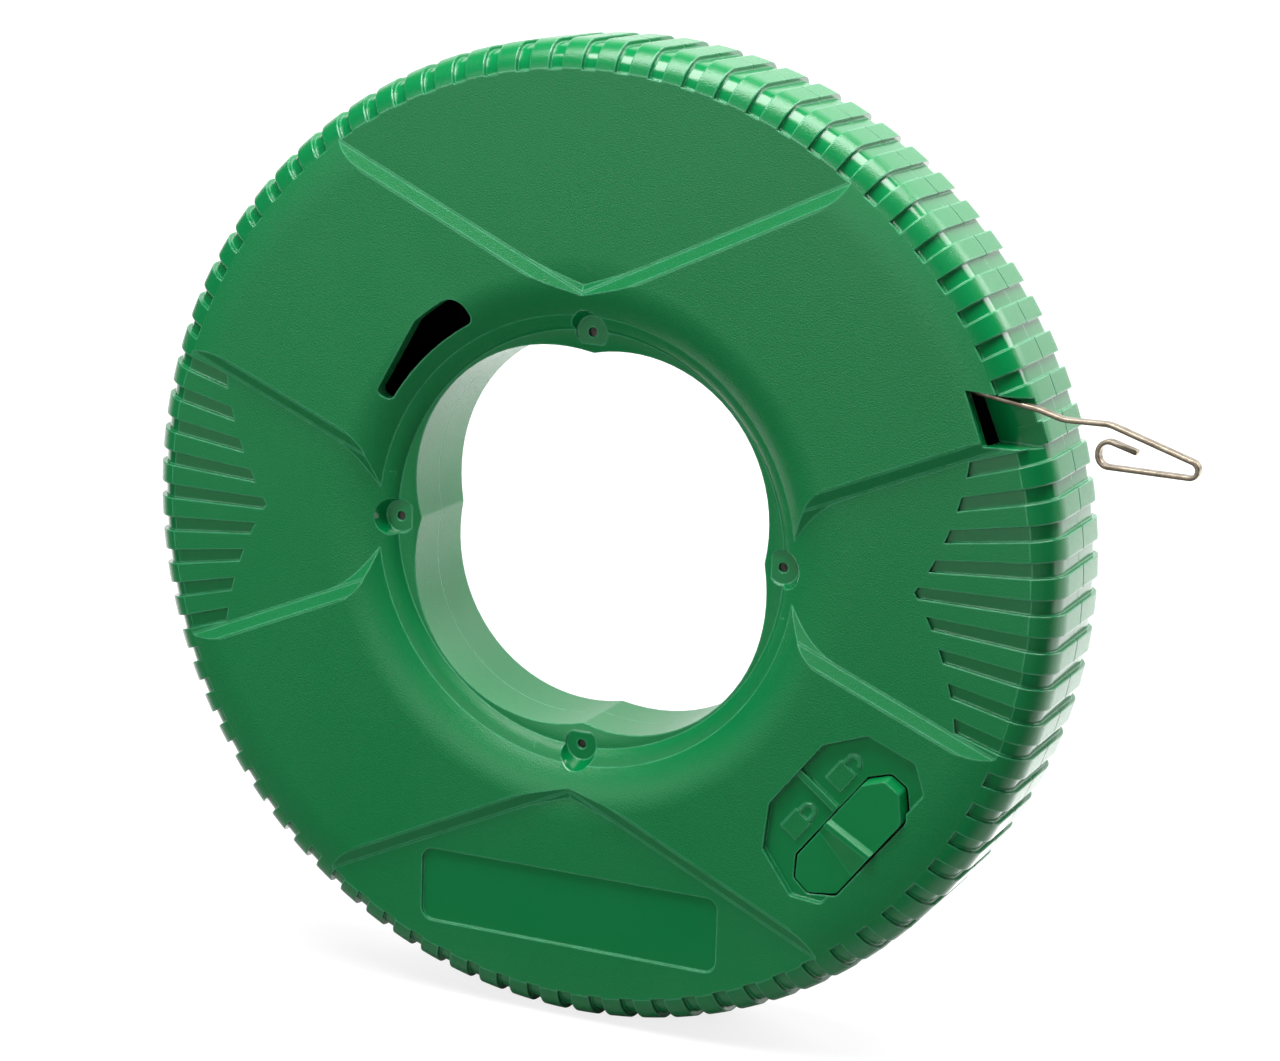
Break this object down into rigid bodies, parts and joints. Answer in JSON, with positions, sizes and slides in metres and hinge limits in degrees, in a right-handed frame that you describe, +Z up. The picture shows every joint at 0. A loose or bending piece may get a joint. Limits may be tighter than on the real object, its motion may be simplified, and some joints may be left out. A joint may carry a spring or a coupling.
{
  "type": "wire spool",
  "caption": "Closed round case with a hand hole, a spinning reel of flat steel tape, a hooked tape end at a rim slot and a rocker lock.",
  "frame": {"origin": "middle of the hand hole, on the case axis and on the seam between the two shells", "axes": "+Z up, +Y along the case axis towards the rear shell, +X to the side the tape leaves"},
  "size_m": [0.3488, 0.0542, 0.31],
  "materials": {
    "shell": "satin, fine grain on the ribs and arms, glossy in the slots",
    "lock": "satin",
    "reel": "matt black",
    "slip": "waxy, pale",
    "tape": "oiled, blued spring steel",
    "screw": "black oxide",
    "steel": "zinc plated"
  },
  "bodies": {
    "case": {"front_shell": "shell", "rear_shell": "shell", "case_screws": "screw", "hub_sleeve": "slip", "hub_circlip": "steel", "hub_washer": "slip", "glide_ring": "slip", "rocker_pin": "steel", "lock_frame": "steel", "lock_frame_screws": "steel", "bolt_spring": "steel", "rocker_detent": "steel", "detent_rivet": "steel"},
    "reel": {"reel_basket": "reel", "lock_ring": "reel", "lock_ring_screws": "steel", "tape_coil": "tape", "tape_anchor_screw": "steel"},
    "rocker": {"lock_rocker": "lock"},
    "bolt": {"lock_bolt": "steel"},
    "leader": {"tape_end": "tape"}
  },
  "joints": [
    {"name": "reel_spin", "type": "hinge", "parent": "case", "child": "reel", "pos_m": [0, 0, 0], "axis": [0, 1, 0], "continuous": true},
    {"name": "rocker_tilt", "type": "hinge", "parent": "case", "child": "rocker", "pos_m": [-0.00137, -0.0175, -0.00172], "axis": [-0.7837, 0, 0.6211], "range_deg": [0, 10]},
    {"name": "bolt_slide", "type": "slide", "parent": "case", "child": "bolt", "axis": [0, -1, 0], "range_m": [0, 0.00157]},
    {"name": "tape_slide", "type": "slide", "parent": "case", "child": "leader", "axis": [0.987, -0.0628, -0.1479], "range_m": [0, 0.12]}
  ],
  "couplings": [
    {"joint": "bolt_slide", "follows": "rocker_tilt", "m_per_rad": 0.009}
  ]
}
